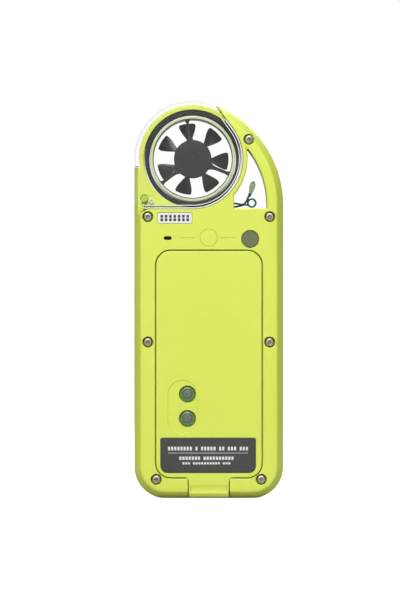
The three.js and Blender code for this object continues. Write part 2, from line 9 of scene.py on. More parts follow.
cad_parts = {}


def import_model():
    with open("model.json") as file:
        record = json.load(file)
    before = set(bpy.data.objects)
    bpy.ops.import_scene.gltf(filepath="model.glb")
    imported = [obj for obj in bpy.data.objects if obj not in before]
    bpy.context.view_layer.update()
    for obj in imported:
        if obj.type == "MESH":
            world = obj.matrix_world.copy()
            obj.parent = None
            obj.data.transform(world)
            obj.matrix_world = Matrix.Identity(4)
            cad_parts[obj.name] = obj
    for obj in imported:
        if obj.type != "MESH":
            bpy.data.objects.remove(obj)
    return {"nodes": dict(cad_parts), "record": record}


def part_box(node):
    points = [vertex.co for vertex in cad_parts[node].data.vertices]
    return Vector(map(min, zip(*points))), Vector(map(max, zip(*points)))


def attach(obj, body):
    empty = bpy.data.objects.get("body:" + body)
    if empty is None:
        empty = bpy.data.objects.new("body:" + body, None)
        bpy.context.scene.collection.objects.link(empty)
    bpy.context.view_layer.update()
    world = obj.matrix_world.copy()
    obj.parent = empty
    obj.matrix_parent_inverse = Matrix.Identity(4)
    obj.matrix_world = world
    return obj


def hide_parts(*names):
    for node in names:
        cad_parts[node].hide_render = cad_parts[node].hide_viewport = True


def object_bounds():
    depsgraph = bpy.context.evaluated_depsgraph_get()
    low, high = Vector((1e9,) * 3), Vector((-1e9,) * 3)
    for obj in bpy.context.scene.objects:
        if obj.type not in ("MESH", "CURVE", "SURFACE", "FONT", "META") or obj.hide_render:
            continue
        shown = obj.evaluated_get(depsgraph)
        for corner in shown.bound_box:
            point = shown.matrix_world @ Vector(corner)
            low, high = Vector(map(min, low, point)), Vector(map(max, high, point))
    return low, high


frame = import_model()
cad_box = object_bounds()

# ---- sizes, in millimetres: from the frame where a node or joint holds them, else as in the CAD ----
MM = 0.001


def box_mm(node):
    low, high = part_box(node)
    return [v / MM for v in low], [v / MM for v in high]


def joint_place(name):
    place = next(j for j in frame["record"]["behaviour"]["joints"] if j["name"] == name)["pos_m"]
    return [v / MM for v in place]


HALF_WIDTH, HALF_DEPTH, HEIGHT = cad_box[1][0] / MM, cad_box[1][1] / MM, cad_box[1][2] / MM
SPLIT_BACK, SPLIT_FRONT = box_mm("rear_case")[1][1], box_mm("front_case")[0][1]
EDGE_ROUND = 2.5
CORNER_ROUND = 9.8
SEAM = 0.3
THROUGH = 20  # a depth beyond either face, for what is cut right through
HUB_X, _, HUB_Z = joint_place("impeller_spin")
PIVOT_X, _, PIVOT_Z = joint_place("cover_swing")
HEAD_RADIUS = HEIGHT - HUB_Z
SHOULDER_RADIUS = 34.4
SHOULDER_X = HALF_WIDTH - SHOULDER_RADIUS
SHOULDER_Z = HUB_Z - math.sqrt((SHOULDER_RADIUS - HEAD_RADIUS) ** 2 - (HUB_X - SHOULDER_X) ** 2)
BORE = 15.6
COVER_RADIUS = 16.0
COVER_TANGENT = math.radians(36)
COVER_CORNER = PIVOT_X + HALF_WIDTH
COVER_SWING = math.radians(122)
COVER_PLATE = 1.3
COVER_RIM = 1.2
RIM_END_Z = 106.0
PIN_RADIUS = (box_mm("cover_pivot_pin")[1][0] - box_mm("cover_pivot_pin")[0][0]) / 2
DOOR_LEFT, DOOR_RIGHT = box_mm("battery_door")[0][0], box_mm("battery_door")[1][0]
DOOR_LOW, DOOR_HIGH = 6.5, box_mm("battery_door")[1][2]
DOOR_ROUND = 4.7
DOOR_THICK = 1.8
LEDGE_Y = -11.5
TRAY_FLOOR_Y = 3.3
HINGE_Y, HINGE_Z = joint_place("battery_door_swing")[1:]
HINGE_RADIUS = HALF_DEPTH + HINGE_Y
TAB_HALF = 6.4
HINGE_BORE = 1.1
ROOM_INSET, ROOM_TOP, ROOM_BACK, ROOM_FRONT = 2.4, 90.8, -12, 11.6
BOSS_RADIUS = 3.2
SCREW_WELL, SCREW_SEAT_Y, SCREW_HOLE, SCREW_HOLE_Y, SCREW_TIP_Y = 1.75, -12.3, 1.1, 9.8, 9.5
WINDOW_LOW, WINDOW_LEFT, WINDOW_INNER, WINDOW_OUTER = 92.5, 8.1, 17.55, 29.2
LEAD_HEIGHTS = (94.3, 93.1)
PORT_FLOOR_Y = -12.9
LABEL_FLOOR_Y = -13.75
SLOT = (-14.35, -11.85, 82.4, 83.6)
SERIAL_RECESS = (-16.45, -5.25, 87.6, 91.2)
RING_MARK_Z = 83.1
LINE_MARK_LOW, LINE_MARK_HIGH = 82.93, 83.13
MARK_FLOOR_Y = -13.93
PORT_PANEL = (-13.0, -3.7, 20.6, 37.6)
STRUT_DEGREES = (98, -22, -142)
BLADES, FIRST_BLADE, BLADE_SWEEP, HALF_CHORD = 7, math.radians(48), math.radians(25.7), 4.5
PAD_Z, PAD_INNER, PAD_OUTER, PAD_HALF = 36, 6.1, 12.3, math.radians(37)
ARROW_REACH = 9.3
GROUP_GAP = 0.8
SCREWS = ["head", "upper_left", "upper_right", "middle_left", "middle_right", "lower_left", "lower_right"]
DIRECTIONS = ["right", "up", "left", "down"]
BUTTONS = ["select", *DIRECTIONS, "backlight", "power", "capture"]


def centre(node):
    low, high = box_mm(node)
    return (low[0] + high[0]) / 2, (low[2] + high[2]) / 2


SCREW_PLACES = [centre(f"case_screw_{name}") for name in SCREWS]
PORTS = [centre("data_window_upper"), centre("data_window_lower")]
VENT = centre("pressure_vent_membrane")


# ---- outlines in (x, z); each is a function of how far it is grown ----
def arc(x, z, radius, start, end, steps):
    return [(x + radius * math.cos(start + (end - start) * i / steps),
             z + radius * math.sin(start + (end - start) * i / steps)) for i in range(steps + 1)]


def circle(x, z, radius, steps=48):
    return lambda grow: arc(x, z, radius + grow, 0, 2 * math.pi * (1 - 1 / steps), steps - 1)


def rounded(left, right, low, high, radius, top=None, steps=8):
    top = radius if top is None else top

    def outline(grow):
        quarter = math.pi / 2
        lower, upper = max(radius + grow, 0.02), max(top + grow, 0.02)
        x0, x1, z0, z1 = left - grow, right + grow, low - grow, high + grow
        return (arc(x1 - lower, z0 + lower, lower, -quarter, 0, steps)
                + arc(x1 - upper, z1 - upper, upper, 0, quarter, steps)
                + arc(x0 + upper, z1 - upper, upper, quarter, 2 * quarter, steps)
                + arc(x0 + lower, z0 + lower, lower, 2 * quarter, 3 * quarter, steps))
    return outline


def body(grow):
    side = HALF_WIDTH - CORNER_ROUND
    lean = math.atan2(HUB_Z - SHOULDER_Z, HUB_X - SHOULDER_X)
    return (arc(side, CORNER_ROUND, CORNER_ROUND + grow, -math.pi / 2, 0, 16)
            + arc(SHOULDER_X, SHOULDER_Z, SHOULDER_RADIUS + grow, 0, lean, 40)
            + arc(HUB_X, HUB_Z, HEAD_RADIUS + grow, lean, math.pi, 48)[1:]
            + arc(-side, CORNER_ROUND, CORNER_ROUND + grow, math.pi, 1.5 * math.pi, 16))


def cover_edge(grow):
    """Under the impeller, round its right side and straight off over the shoulder."""
    radius, beyond = COVER_RADIUS + grow, 22
    cos, sin = math.cos(COVER_TANGENT), math.sin(COVER_TANGENT)
    return (arc(HUB_X, HUB_Z, radius, -math.pi / 2, COVER_TANGENT, 48)
            + [(HUB_X + radius * cos - beyond * sin, HUB_Z + radius * sin + beyond * cos),
               (-HALF_WIDTH - 10, HEIGHT + 10)])


def cover(grow):
    corner = COVER_CORNER + grow
    return (cover_edge(grow) + [(-HALF_WIDTH - 10, PIVOT_Z)]
            + arc(PIVOT_X, PIVOT_Z, corner, math.pi, 1.5 * math.pi, 12)[1:])


def recess(grow):
    """The step in the case round the cover, relieved where the cover's left edge swings past."""
    reach, outside = COVER_CORNER + grow, -HALF_WIDTH - 10
    along_x, along_z = -math.sin(COVER_SWING), math.cos(COVER_SWING)
    touch_x = PIVOT_X - reach * math.cos(COVER_SWING)
    touch_z = PIVOT_Z - reach * math.sin(COVER_SWING)
    floor = PIVOT_Z - reach
    return cover_edge(grow) + [
        (outside, touch_z + along_z * (outside - touch_x) / along_x),
        (touch_x + along_x * (floor - touch_z) / along_z, floor)]


def sensor_window(grow):
    low, left, inner = WINDOW_LOW - grow, WINDOW_LEFT - grow, WINDOW_INNER - grow
    outer = WINDOW_OUTER + grow
    apart = SHOULDER_RADIUS - HEAD_RADIUS
    lean = math.atan2(HUB_Z - SHOULDER_Z, HUB_X - SHOULDER_X)
    turn = lean - math.acos((outer ** 2 - inner ** 2 + apart ** 2) / (2 * apart * outer))
    apex_x, apex_z = SHOULDER_X + outer * math.cos(turn), SHOULDER_Z + outer * math.sin(turn)
    from_hub = math.atan2(apex_z - HUB_Z, apex_x - HUB_X)
    right = arc(SHOULDER_X, SHOULDER_Z, outer, math.asin((low - SHOULDER_Z) / outer), turn, 24)
    beside_hub = arc(HUB_X, HUB_Z, inner, from_hub, -math.acos((left - HUB_X) / inner), 24)
    return right[:-1] + beside_hub[1:] + [(left, low)]


def room(grow):
    half = HALF_WIDTH - ROOM_INSET
    return rounded(-half, half, ROOM_INSET, ROOM_TOP, 5, 2)(grow)


def door(grow):
    return rounded(DOOR_LEFT, DOOR_RIGHT, DOOR_LOW, DOOR_HIGH, DOOR_ROUND, steps=12)(grow)


# ---- meshes ----
def make_mesh(name, points, faces):
    mesh = bpy.data.meshes.new(name)
    mesh.from_pydata([Vector(p) * MM for p in points], [], faces)
    work = bmesh.new()
    work.from_mesh(mesh)
    bmesh.ops.remove_doubles(work, verts=work.verts, dist=1e-7)
    bmesh.ops.recalc_face_normals(work, faces=work.faces)
    work.to_mesh(mesh)
    work.free()
    obj = bpy.data.objects.new(name, mesh)
    bpy.context.collection.objects.link(obj)
    return obj


def stack(name, outline, levels):
    """A closed solid through the same outline at several depths: levels are (y, grow)."""
    rings = [outline(grow) for _, grow in levels]
    count = len(rings[0])
    points = [(x, y, z) for (y, _), ring in zip(levels, rings) for x, z in ring]
    faces = [list(range(count)), list(range((len(levels) - 1) * count, len(levels) * count))]
    for level in range(len(levels) - 1):
        a, b = level * count, (level + 1) * count
        faces += [[a + i, a + (i + 1) % count, b + (i + 1) % count, b + i] for i in range(count)]
    return make_mesh(name, points, faces)


# The case's outer edge: a steep chamfer with soft corners, as (depth from the face, grow).
CASE_EDGE = [(0, -3.0), (0.04, -2.5), (0.14, -2.1), (0.36, -1.78),
             (2.9, -0.42), (3.4, -0.18), (3.9, -0.04), (4.3, 0)]


def through(outline, grow=0, reach=THROUGH, name="cut"):
    """A cutter with straight sides that passes through both faces."""
    return stack(name, outline, [(-reach, grow), (reach, grow)])


def rounded_levels(low, high, low_round, high_round, grow=0.0, steps=8):
    """Levels of a plate whose two rims are rounded."""
    levels = []
    for i in range(steps + 1 if low_round else 1):
        turn = math.pi / 2 * i / steps if low_round else math.pi / 2
        levels.append((low + low_round * (1 - math.cos(turn)), grow - low_round * (1 - math.sin(turn))))
    for i in range(steps + 1 if high_round else 1):
        turn = math.pi / 2 * (1 - i / steps) if high_round else math.pi / 2
        levels.append((high - high_round * (1 - math.cos(turn)), grow - high_round * (1 - math.sin(turn))))
    return levels


def plate(name, outline, low, high, low_round=0.15, high_round=0.15, grow=0.0, steps=3):
    return stack(name, outline, rounded_levels(low, high, low_round, high_round, grow, steps))


def pocket(name, outline, mouth, floor, flare=0.2, grow=0.0):
    """A cutter from the mouth, beyond which it flares to soften the rim, down to its floor."""
    out = 1 if mouth > floor else -1
    return stack(name, outline, [(mouth + out * 0.5, grow + flare + 0.5), (mouth - out * flare, grow),
                                 (floor, grow)])


def lathe(name, profile, x, z, steps=48):
    """A solid of revolution about a line along Y; the profile is (radius, y), its ends on the axis."""
    points, rings = [], []
    for radius, y in profile:
        if radius < 1e-6:
            rings.append([len(points)])
            points.append((x, y, z))
        else:
            rings.append(list(range(len(points), len(points) + steps)))
            points += [(px, y, pz) for px, pz in circle(x, z, radius, steps)(0)]
    faces = []
    for a, b in zip(rings, rings[1:]):
        for i in range(steps):
            j = (i + 1) % steps
            corners = [a[i % len(a)], a[j % len(a)], b[j % len(b)], b[i % len(b)]]
            faces.append(list(dict.fromkeys(corners)))
    return make_mesh(name, points, faces)


def tube(name, inner, outer, low, high, x=HUB_X, z=HUB_Z, soft=0.15, steps=128):
    """A ring about a line along Y with softened rims."""
    profile = [(outer - soft, low), (outer, low + soft), (outer, high - soft), (outer - soft, high),
               (inner + soft, high), (inner, high - soft), (inner, low + soft), (inner + soft, low)]
    points = [(px, y, pz) for radius, y in profile for px, pz in circle(x, z, radius, steps)(0)]
    faces = []
    for ring in range(len(profile)):
        a, b = ring * steps, (ring + 1) % len(profile) * steps
        faces += [[a + i, a + (i + 1) % steps, b + (i + 1) % steps, b + i] for i in range(steps)]
    return make_mesh(name, points, faces)


def block(name, x0, x1, y0, y1, z0, z1):
    points = [(x, y, z) for x in (x0, x1) for y in (y0, y1) for z in (z0, z1)]
    faces = [[0, 1, 3, 2], [4, 6, 7, 5], [0, 4, 5, 1], [2, 3, 7, 6], [0, 2, 6, 4], [1, 5, 7, 3]]
    return make_mesh(name, points, faces)


def shift(x, y, z):
    return Matrix.Translation(Vector((x, y, z)) * MM)


def bar_x(name, radius, y, z, half, steps=48):
    """A round bar along X."""
    bar = lathe(name, [(0, -half), (radius, -half), (radius, half), (0, half)], 0, 0, steps)
    bar.data.transform(shift(0, y, z) @ Matrix.Rotation(math.pi / 2, 4, "Z"))
    return bar


def combine(obj, tool, operation):
    step = obj.modifiers.new("step", "BOOLEAN")
    step.operation = operation
    step.solver = "EXACT"
    step.object = tool
    bpy.context.view_layer.update()
    result = bpy.data.meshes.new_from_object(obj.evaluated_get(bpy.context.evaluated_depsgraph_get()))
    obj.modifiers.clear()
    obj.data = result
    bpy.data.objects.remove(tool)


def cut(obj, *tools):
    for tool in tools:
        combine(obj, tool, "DIFFERENCE")
    return obj


def join(obj, *tools):
    for tool in tools:
        combine(obj, tool, "UNION")


def dress(obj, material, body_name, slot, *nodes):
    """Material, smooth shading that keeps real edges, and the CAD nodes that the piece stands for."""
    obj.data.materials.clear()
    obj.data.materials.append(material)
    obj.data.shade_smooth()
    obj.data.set_sharp_from_angle(angle=math.radians(32))
    flat_faces = obj.modifiers.new("flat faces stay flat", "WEIGHTED_NORMAL")
    flat_faces.keep_sharp = True
    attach(obj, body_name)
    if nodes:
        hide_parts(*nodes)


# ---- materials ----
class Nodes:
    """Shorthand for building one material's node tree."""

    def __init__(self, name):
        self.material = bpy.data.materials.new(name)
        self.material.use_nodes = True
        self.tree = self.material.node_tree
        self.shader = self.tree.nodes["Principled BSDF"]
        self.place = self.tree.nodes.new("ShaderNodeTexCoord").outputs["Object"]

    def link(self, a, b):
        self.tree.links.new(a, b)

    def noise(self, scale, detail=3.0, roughness=0.5, stretch=None):
        node = self.tree.nodes.new("ShaderNodeTexNoise")
        node.inputs["Scale"].default_value = scale
        node.inputs["Detail"].default_value = detail
        node.inputs["Roughness"].default_value = roughness
        place = self.place
        if stretch:
            mapping = self.tree.nodes.new("ShaderNodeMapping")
            mapping.inputs["Scale"].default_value = stretch
            self.link(place, mapping.inputs["Vector"])
            place = mapping.outputs["Vector"]
        self.link(place, node.inputs["Vector"])
        return node.outputs["Fac"]

    def ramp(self, factor, stops):
        node = self.tree.nodes.new("ShaderNodeValToRGB")
        for element, (position, colour) in zip(node.color_ramp.elements, (stops[0], stops[-1])):
            element.position, element.color = position, (*colour, 1)
        for position, colour in stops[1:-1]:
            node.color_ramp.elements.new(position).color = (*colour, 1)
        self.link(factor, node.inputs["Fac"])
        return node.outputs["Color"]

    def mix(self, factor, a, b, mode="MIX"):
        node = self.tree.nodes.new("ShaderNodeMix")
        node.data_type, node.blend_type = "RGBA", mode
        for index, value in ((0, factor), (6, a), (7, b)):  # sockets 6 and 7 are the colours
            if isinstance(value, (int, float)):
                node.inputs[index].default_value = value
            elif isinstance(value, tuple):
                node.inputs[index].default_value = (*value, 1)
            else:
                self.link(value, node.inputs[index])
        return node.outputs[2]

    def spread(self, factor, low, high):
        node = self.tree.nodes.new("ShaderNodeMapRange")
        node.inputs["To Min"].default_value, node.inputs["To Max"].default_value = low, high
        self.link(factor, node.inputs["Value"])
        return node.outputs["Result"]

    def bump(self, height, distance, strength=1.0, edge=0.0):
        node = self.tree.nodes.new("ShaderNodeBump")
        node.inputs["Distance"].default_value = distance * MM
        node.inputs["Strength"].default_value = strength
        self.link(height, node.inputs["Height"])
        if edge:
            worn = self.tree.nodes.new("ShaderNodeBevel")
            worn.inputs["Radius"].default_value = edge * MM
            worn.samples = 4
            self.link(worn.outputs["Normal"], node.inputs["Normal"])
        self.link(node.outputs["Normal"], self.shader.inputs["Normal"])

    def crevice(self, reach):
        node = self.tree.nodes.new("ShaderNodeAmbientOcclusion")
        node.samples, node.only_local = 6, True
        node.inputs["Distance"].default_value = reach * MM
        return node.outputs["AO"]

    def edge(self, radius):
        """0 on flats and up to 1 where an edge is near."""
        soft = self.tree.nodes.new("ShaderNodeBevel")
        soft.samples = 4
        soft.inputs["Radius"].default_value = radius * MM
        true = self.tree.nodes.new("ShaderNodeNewGeometry")
        match = self.tree.nodes.new("ShaderNodeVectorMath")
        match.operation = "DOT_PRODUCT"
        self.link(soft.outputs["Normal"], match.inputs[0])
        self.link(true.outputs["Normal"], match.inputs[1])
        worn = self.tree.nodes.new("ShaderNodeMapRange")
        worn.inputs["From Min"].default_value, worn.inputs["From Max"].default_value = 1.0, 0.86
        self.link(match.outputs["Value"], worn.inputs["Value"])
        return worn.outputs["Result"]

    def set(self, **values):
        for name, value in values.items():
            socket = self.shader.inputs[name.replace("_", " ")]
            if hasattr(value, "links"):
                self.link(value, socket)
            else:
                socket.default_value = (*value, 1) if isinstance(value, tuple) else value
        return self


def moulded(name, tones, roughness=(0.35, 0.5), grain=0.012, edge=0.2, painted_shade_tone=None, **values):
    """Moulded plastic: slow colour drift, spark-eroded grain, polish that varies, painted shade in the
    crevices.
    """
    n = Nodes(name)
    drift = n.ramp(n.noise(45, 4, 0.6), [(0.3, tones[0]), (0.7, tones[1])])
    colour = n.mix(n.spread(n.noise(900, 2), 0.0, 0.22), drift, tones[2])
    # Painted shade: ambient occlusion darkens the colour in crevices, seams and recesses, where shade falls.
    if painted_shade_tone:
        shade = n.ramp(n.crevice(1.8), [(0.25, painted_shade_tone), (0.9, (1, 1, 1))])
        colour = n.mix(1.0, colour, shade, "MULTIPLY")
    colour = n.mix(n.spread(n.edge(0.22), 0.0, 0.3), colour, tones[3])
    n.bump(n.noise(5200, 3, 0.6), grain, edge=edge)
    polish = n.spread(n.noise(160, 5, 0.65), *roughness)
    return n.set(Base_Color=colour, Roughness=polish, **values).material


def clear_plastic(name, tint, thin, thick, roughness):
    """Clear polycarbonate: nearly open face on, milkier where it is seen along its skin, with fine scuffs."""
    n = Nodes(name)
    facing = n.tree.nodes.new("ShaderNodeLayerWeight")
    facing.inputs["Blend"].default_value = 0.35
    scuffs = n.ramp(n.noise(1500, 4, 0.7, (1, 1, 0.15)), [(0.62, (0, 0, 0)), (0.74, (1, 1, 1))])
    body_tone = n.spread(facing.outputs["Facing"], thin, thick)
    scuffed = n.tree.nodes.new("ShaderNodeMath")
    scuffed.operation, scuffed.inputs[1].default_value = "MULTIPLY_ADD", 0.03
    n.link(scuffs, scuffed.inputs[0])
    n.link(body_tone, scuffed.inputs[2])
    n.bump(n.noise(300, 3), 0.01)
    colour = n.ramp(n.noise(60, 3), [(0.35, tint), (0.65, tuple(min(1, c * 1.06) for c in tint))])
    return n.set(Base_Color=colour, Roughness=n.spread(n.noise(700, 4), *roughness),
                 Alpha=scuffed.outputs[0], IOR=1.585).material


def metal(name, tones, roughness=(0.25, 0.45), rings=False):
    n = Nodes(name)
    streak = n.noise(900, 4, 0.6, (1, 0.2, 1))
    colour = n.ramp(streak, [(0.3, tones[0]), (0.7, tones[1])])
    tarnish = n.ramp(n.crevice(0.6), [(0.2, (0.25, 0.2, 0.13)), (0.9, (1, 1, 1))])
    n.bump(n.noise(4500, 3, 0.5, (1, 0.15, 1) if rings else None), 0.006, edge=0.08)
    return n.set(Base_Color=n.mix(1.0, colour, tarnish, "MULTIPLY"), Metallic=1.0,
                 Roughness=n.spread(streak, *roughness)).material


def printed(name, ground, grain=0.006, roughness=(0.4, 0.55)):
    """Printed film: a flat ink with a fine stipple."""
    n = Nodes(name)
    fleck = n.noise(2600, 4, 0.7)
    lighter = tuple(min(1, c * 1.25 + 0.01) for c in ground)
    n.bump(n.noise(3800, 2), grain)
    return n.set(Base_Color=n.ramp(fleck, [(0.35, ground), (0.7, lighter)]),
                 Roughness=n.spread(n.noise(300, 4), *roughness)).material


MAT = {
    # The case plastic carries painted shade in its crevices, seams and recesses.
    "case": moulded("case plastic", [(0.615, 0.715, 0.078), (0.655, 0.745, 0.098), (0.72, 0.80, 0.16),
                                     (0.84, 0.89, 0.28)], painted_shade_tone=(0.16, 0.25, 0.0), grain=0.010,
                    Specular_IOR_Level=0.45),
    # Painted shade: the pivot pin is case plastic, given darker tones for the shade it sits in.
    "pin": moulded("pivot pin plastic in painted shade", [(0.36, 0.50, 0.04), (0.41, 0.55, 0.055), (0.50, 0.63, 0.10),
                                         (0.52, 0.66, 0.16)], (0.3, 0.45)),
    "dark": moulded("dark plastic", [(0.012, 0.012, 0.015), (0.018, 0.017, 0.021), (0.030, 0.029, 0.034),
                                     (0.08, 0.08, 0.09)], (0.42, 0.58), edge=0.1,
                    Specular_IOR_Level=0.25),
    "rubber": moulded("black rubber", [(0.006, 0.006, 0.007), (0.010, 0.010, 0.011), (0.017, 0.017, 0.018),
                                       (0.035, 0.035, 0.035)], (0.6, 0.8), grain=0.02, edge=0.1,
                      Specular_IOR_Level=0.3),
    "button": moulded("keypad rubber", [(0.030, 0.031, 0.034), (0.040, 0.041, 0.044), (0.06, 0.06, 0.065),
                                        (0.10, 0.10, 0.11)], (0.5, 0.68), grain=0.02, edge=0.15),
    "housing": moulded("pale green plastic", [(0.58, 0.64, 0.40), (0.64, 0.70, 0.46), (0.74, 0.79, 0.56),
                                              (0.86, 0.90, 0.70)], (0.12, 0.22), grain=0.002, edge=0.15,
                       Coat_Weight=0.6, Coat_Roughness=0.08),
    "clear": clear_plastic("clear polycarbonate", (0.93, 0.96, 0.88), 0.02, 0.28, (0.03, 0.10)),
    # Painted highlight: near-opaque white for the clear cover's edges, standing for the light they catch.
    "clear_edge_highlight": clear_plastic("clear cover edge with painted highlight", (0.94, 0.96, 0.90), 0.82, 0.95,
                                (0.08, 0.18)),
    # Painted highlight: the cover's detent boss is made milky white to stand for the light it catches.
    "clear_boss_highlight": clear_plastic("moulded boss of the clear cover with painted highlight", (0.90, 0.95, 0.82), 0.45, 0.7,
                                (0.05, 0.12)),
    "nickel": metal("screw nickel", [(0.42, 0.39, 0.30), (0.58, 0.55, 0.45)], (0.42, 0.58), rings=True),
    "steel": metal("bright steel", [(0.50, 0.50, 0.49), (0.64, 0.63, 0.61)]),
    "brass": metal("spring brass", [(0.60, 0.44, 0.17), (0.72, 0.55, 0.25)]),
    "label": printed("black film", (0.038, 0.038, 0.034)),
    "ink": printed("white ink", (0.62, 0.62, 0.60), 0.003),
    "paper": printed("white film", (0.66, 0.66, 0.65), 0.003),
    "black_ink": printed("black ink", (0.018, 0.018, 0.02), 0.002),
    "board": printed("green board", (0.012, 0.11, 0.04), 0.01, (0.25, 0.4)),
    "package": printed("component package", (0.03, 0.03, 0.032), 0.01),
    "cell": printed("cell jacket", (0.05, 0.055, 0.07), 0.003, (0.2, 0.3)),
    "cell_band": printed("cell band", (0.55, 0.32, 0.10), 0.003, (0.2, 0.3)),
    "diffuser": printed("light guide", (0.82, 0.84, 0.80), 0.004, (0.3, 0.4)),
    "wire": moulded("teal enamel", [(0.004, 0.12, 0.125), (0.008, 0.16, 0.16), (0.02, 0.21, 0.21),
                                    (0.05, 0.30, 0.29)], (0.25, 0.4), grain=0.004, edge=0.0),
    "bead": moulded("olive glass bead", [(0.50, 0.57, 0.36), (0.60, 0.67, 0.44), (0.70, 0.75, 0.54),
                                         (0.80, 0.84, 0.66)], (0.08, 0.16), grain=0.002, edge=0.0,
                    Coat_Weight=0.8, Coat_Roughness=0.04, Alpha=0.66),
    "port": moulded("port lens", [(0.10, 0.19, 0.055), (0.14, 0.25, 0.08), (0.20, 0.32, 0.13),
                                  (0.30, 0.42, 0.20)], (0.25, 0.4), grain=0.002, edge=0.0),
    "port_dark": moulded("port window", [(0.115, 0.145, 0.115), (0.15, 0.18, 0.15), (0.20, 0.22, 0.20),
                                         (0.26, 0.28, 0.26)], (0.35, 0.5), grain=0.002, edge=0.0),
}


def membrane_material():
    """Porous vent film: grey-green with fine pores."""
    n = Nodes("vent membrane")
    pores = n.tree.nodes.new("ShaderNodeTexVoronoi")
    pores.inputs["Scale"].default_value = 5200
    n.link(n.place, pores.inputs["Vector"])
    tone = n.ramp(pores.outputs["Distance"], [(0.1, (0.062, 0.085, 0.026)), (0.6, (0.135, 0.165, 0.070))])
    worn = n.mix(n.spread(n.noise(500, 4, 0.7), 0, 0.45), tone, (0.19, 0.21, 0.12))
    n.bump(pores.outputs["Distance"], 0.03)
    return n.set(Base_Color=worn, Roughness=0.85).material


def display_material():
    """Unlit reflective display: grey-green, with a faint cell grid."""
    n = Nodes("display film")
    grid = n.tree.nodes.new("ShaderNodeTexBrick")
    grid.offset = 0.0
    grid.inputs["Scale"].default_value = 900
    grid.inputs["Mortar Size"].default_value = 0.03
    grid.inputs["Color1"].default_value = (0.30, 0.36, 0.24, 1)
    grid.inputs["Color2"].default_value = (0.32, 0.38, 0.26, 1)
    grid.inputs["Mortar"].default_value = (0.25, 0.30, 0.20, 1)
    turn = n.tree.nodes.new("ShaderNodeMapping")
    turn.inputs["Rotation"].default_value = (math.pi / 2, 0, 0)
    n.link(n.place, turn.inputs["Vector"])
    n.link(turn.outputs["Vector"], grid.inputs["Vector"])
    n.bump(n.noise(400, 3), 0.004)
    return n.set(Base_Color=grid.outputs["Color"], Roughness=n.spread(n.noise(200, 3), 0.2, 0.3)).material


# ---- the two case shells ----
def shared_cuts(obj, back):
    """What is cut through both shells. back is True for the rear shell."""
    side = -1 if back else 1
    face, step, far = side * HALF_DEPTH, side * (HALF_DEPTH - COVER_PLATE - SEAM), -side * THROUGH
    cut(obj, pocket("cut", circle(HUB_X, HUB_Z, BORE, 96), step, far, 0.15),
        pocket("cut", sensor_window, face, far, 0.35),
        pocket("cut", recess, face, step, 0.12, SEAM - 0.12))
    rim = through(recess, SEAM - 0.12, 30, "rim")
    cut(rim, plate("cut", circle(HUB_X, HUB_Z, HEAD_RADIUS - COVER_RIM - SEAM, 128), -40, 40, 0, 0),
        block("cut", -50, 50, -50, 50, 0, RIM_END_Z - 2 * SEAM))
    cut(obj, rim, pocket("cut", circle(PIVOT_X, PIVOT_Z, PIN_RADIUS + 0.15), step, far, 0.1))
    for x, z in SCREW_PLACES:
        if back:
            cut(obj, pocket("cut", circle(x, z, SCREW_WELL), face, SCREW_SEAT_Y, 0.12))
        cut(obj, stack("cut", circle(x, z, SCREW_HOLE, 16), [(-THROUGH, 0), (SCREW_HOLE_Y, 0)]))


def hollow(low, high):
    """The space inside the case, less the bosses of the screws below the head."""
    space = stack("room", room, [(low, 0), (high, 0)])
    for x, z in SCREW_PLACES[1:]:
        cut(space, stack("boss", circle(x, z, BOSS_RADIUS, 24), [(low - 1, 0), (high + 1, 0)]))
    return space


def rear_shell():
    levels = [(depth - HALF_DEPTH, grow) for depth, grow in CASE_EDGE]
    shell = stack("rear_shell", body, levels + rounded_levels(0, SPLIT_BACK, 0, 0.18)[1:])
    shared_cuts(shell, True)
    tray = stack("tray", door, [(-HALF_DEPTH, 1.5), (TRAY_FLOOR_Y + 1.2, 1.5)])
    inside = cut(hollow(ROOM_BACK, SPLIT_BACK + 1), tray, block("cut", -10.5, 10.5, -THROUGH, -7.2, 0, 9))
    compartment = stack("cell room", door, [(LEDGE_Y - 1, -2.4), (TRAY_FLOOR_Y, -2.4)])
    cut(compartment, block("rib", -0.6, 20, -9, 5, 67, 68.4))
    gap = TAB_HALF + SEAM
    cut(shell, inside, compartment,
        pocket("cut", door, -HALF_DEPTH, LEDGE_Y, 0.2, SEAM - 0.08),
        block("cut", -gap, gap, -THROUGH, HINGE_Y + HINGE_RADIUS + SEAM, -1, 5.4),
        block("cut", -gap, gap, -THROUGH, LEDGE_Y, 5.3, DOOR_LOW),
        bar_x("cut", HINGE_BORE, HINGE_Y, HINGE_Z, 9.7),
        pocket("cut", rounded(*SLOT, 0.59), -HALF_DEPTH, -11, 0.05),
        pocket("cut", circle(*VENT, 2.85), -HALF_DEPTH, PORT_FLOOR_Y, 0.08),
        pocket("cut", rounded(*SERIAL_RECESS, 0.8), -HALF_DEPTH, LABEL_FLOOR_Y, 0.06))
    for left, right in ((-9.6, -4.6), (3.6, 8.6)):
        cut(shell, block("cut", left, right, -THROUGH, MARK_FLOOR_Y, LINE_MARK_LOW, LINE_MARK_HIGH))
    cut(shell, tube("mark", 2.68, 2.88, -15, MARK_FLOOR_Y + 0.01, 0, RING_MARK_Z, 0.02, 96))
    for z in LEAD_HEIGHTS:
        hole = bar_x("lead hole", 0.5, 0, z, 1.75, 20)
        hole.data.transform(shift(7.25, 0, 0))
        cut(shell, hole)
    dress(shell, MAT["case"], "case", "case_plastic", "rear_case")


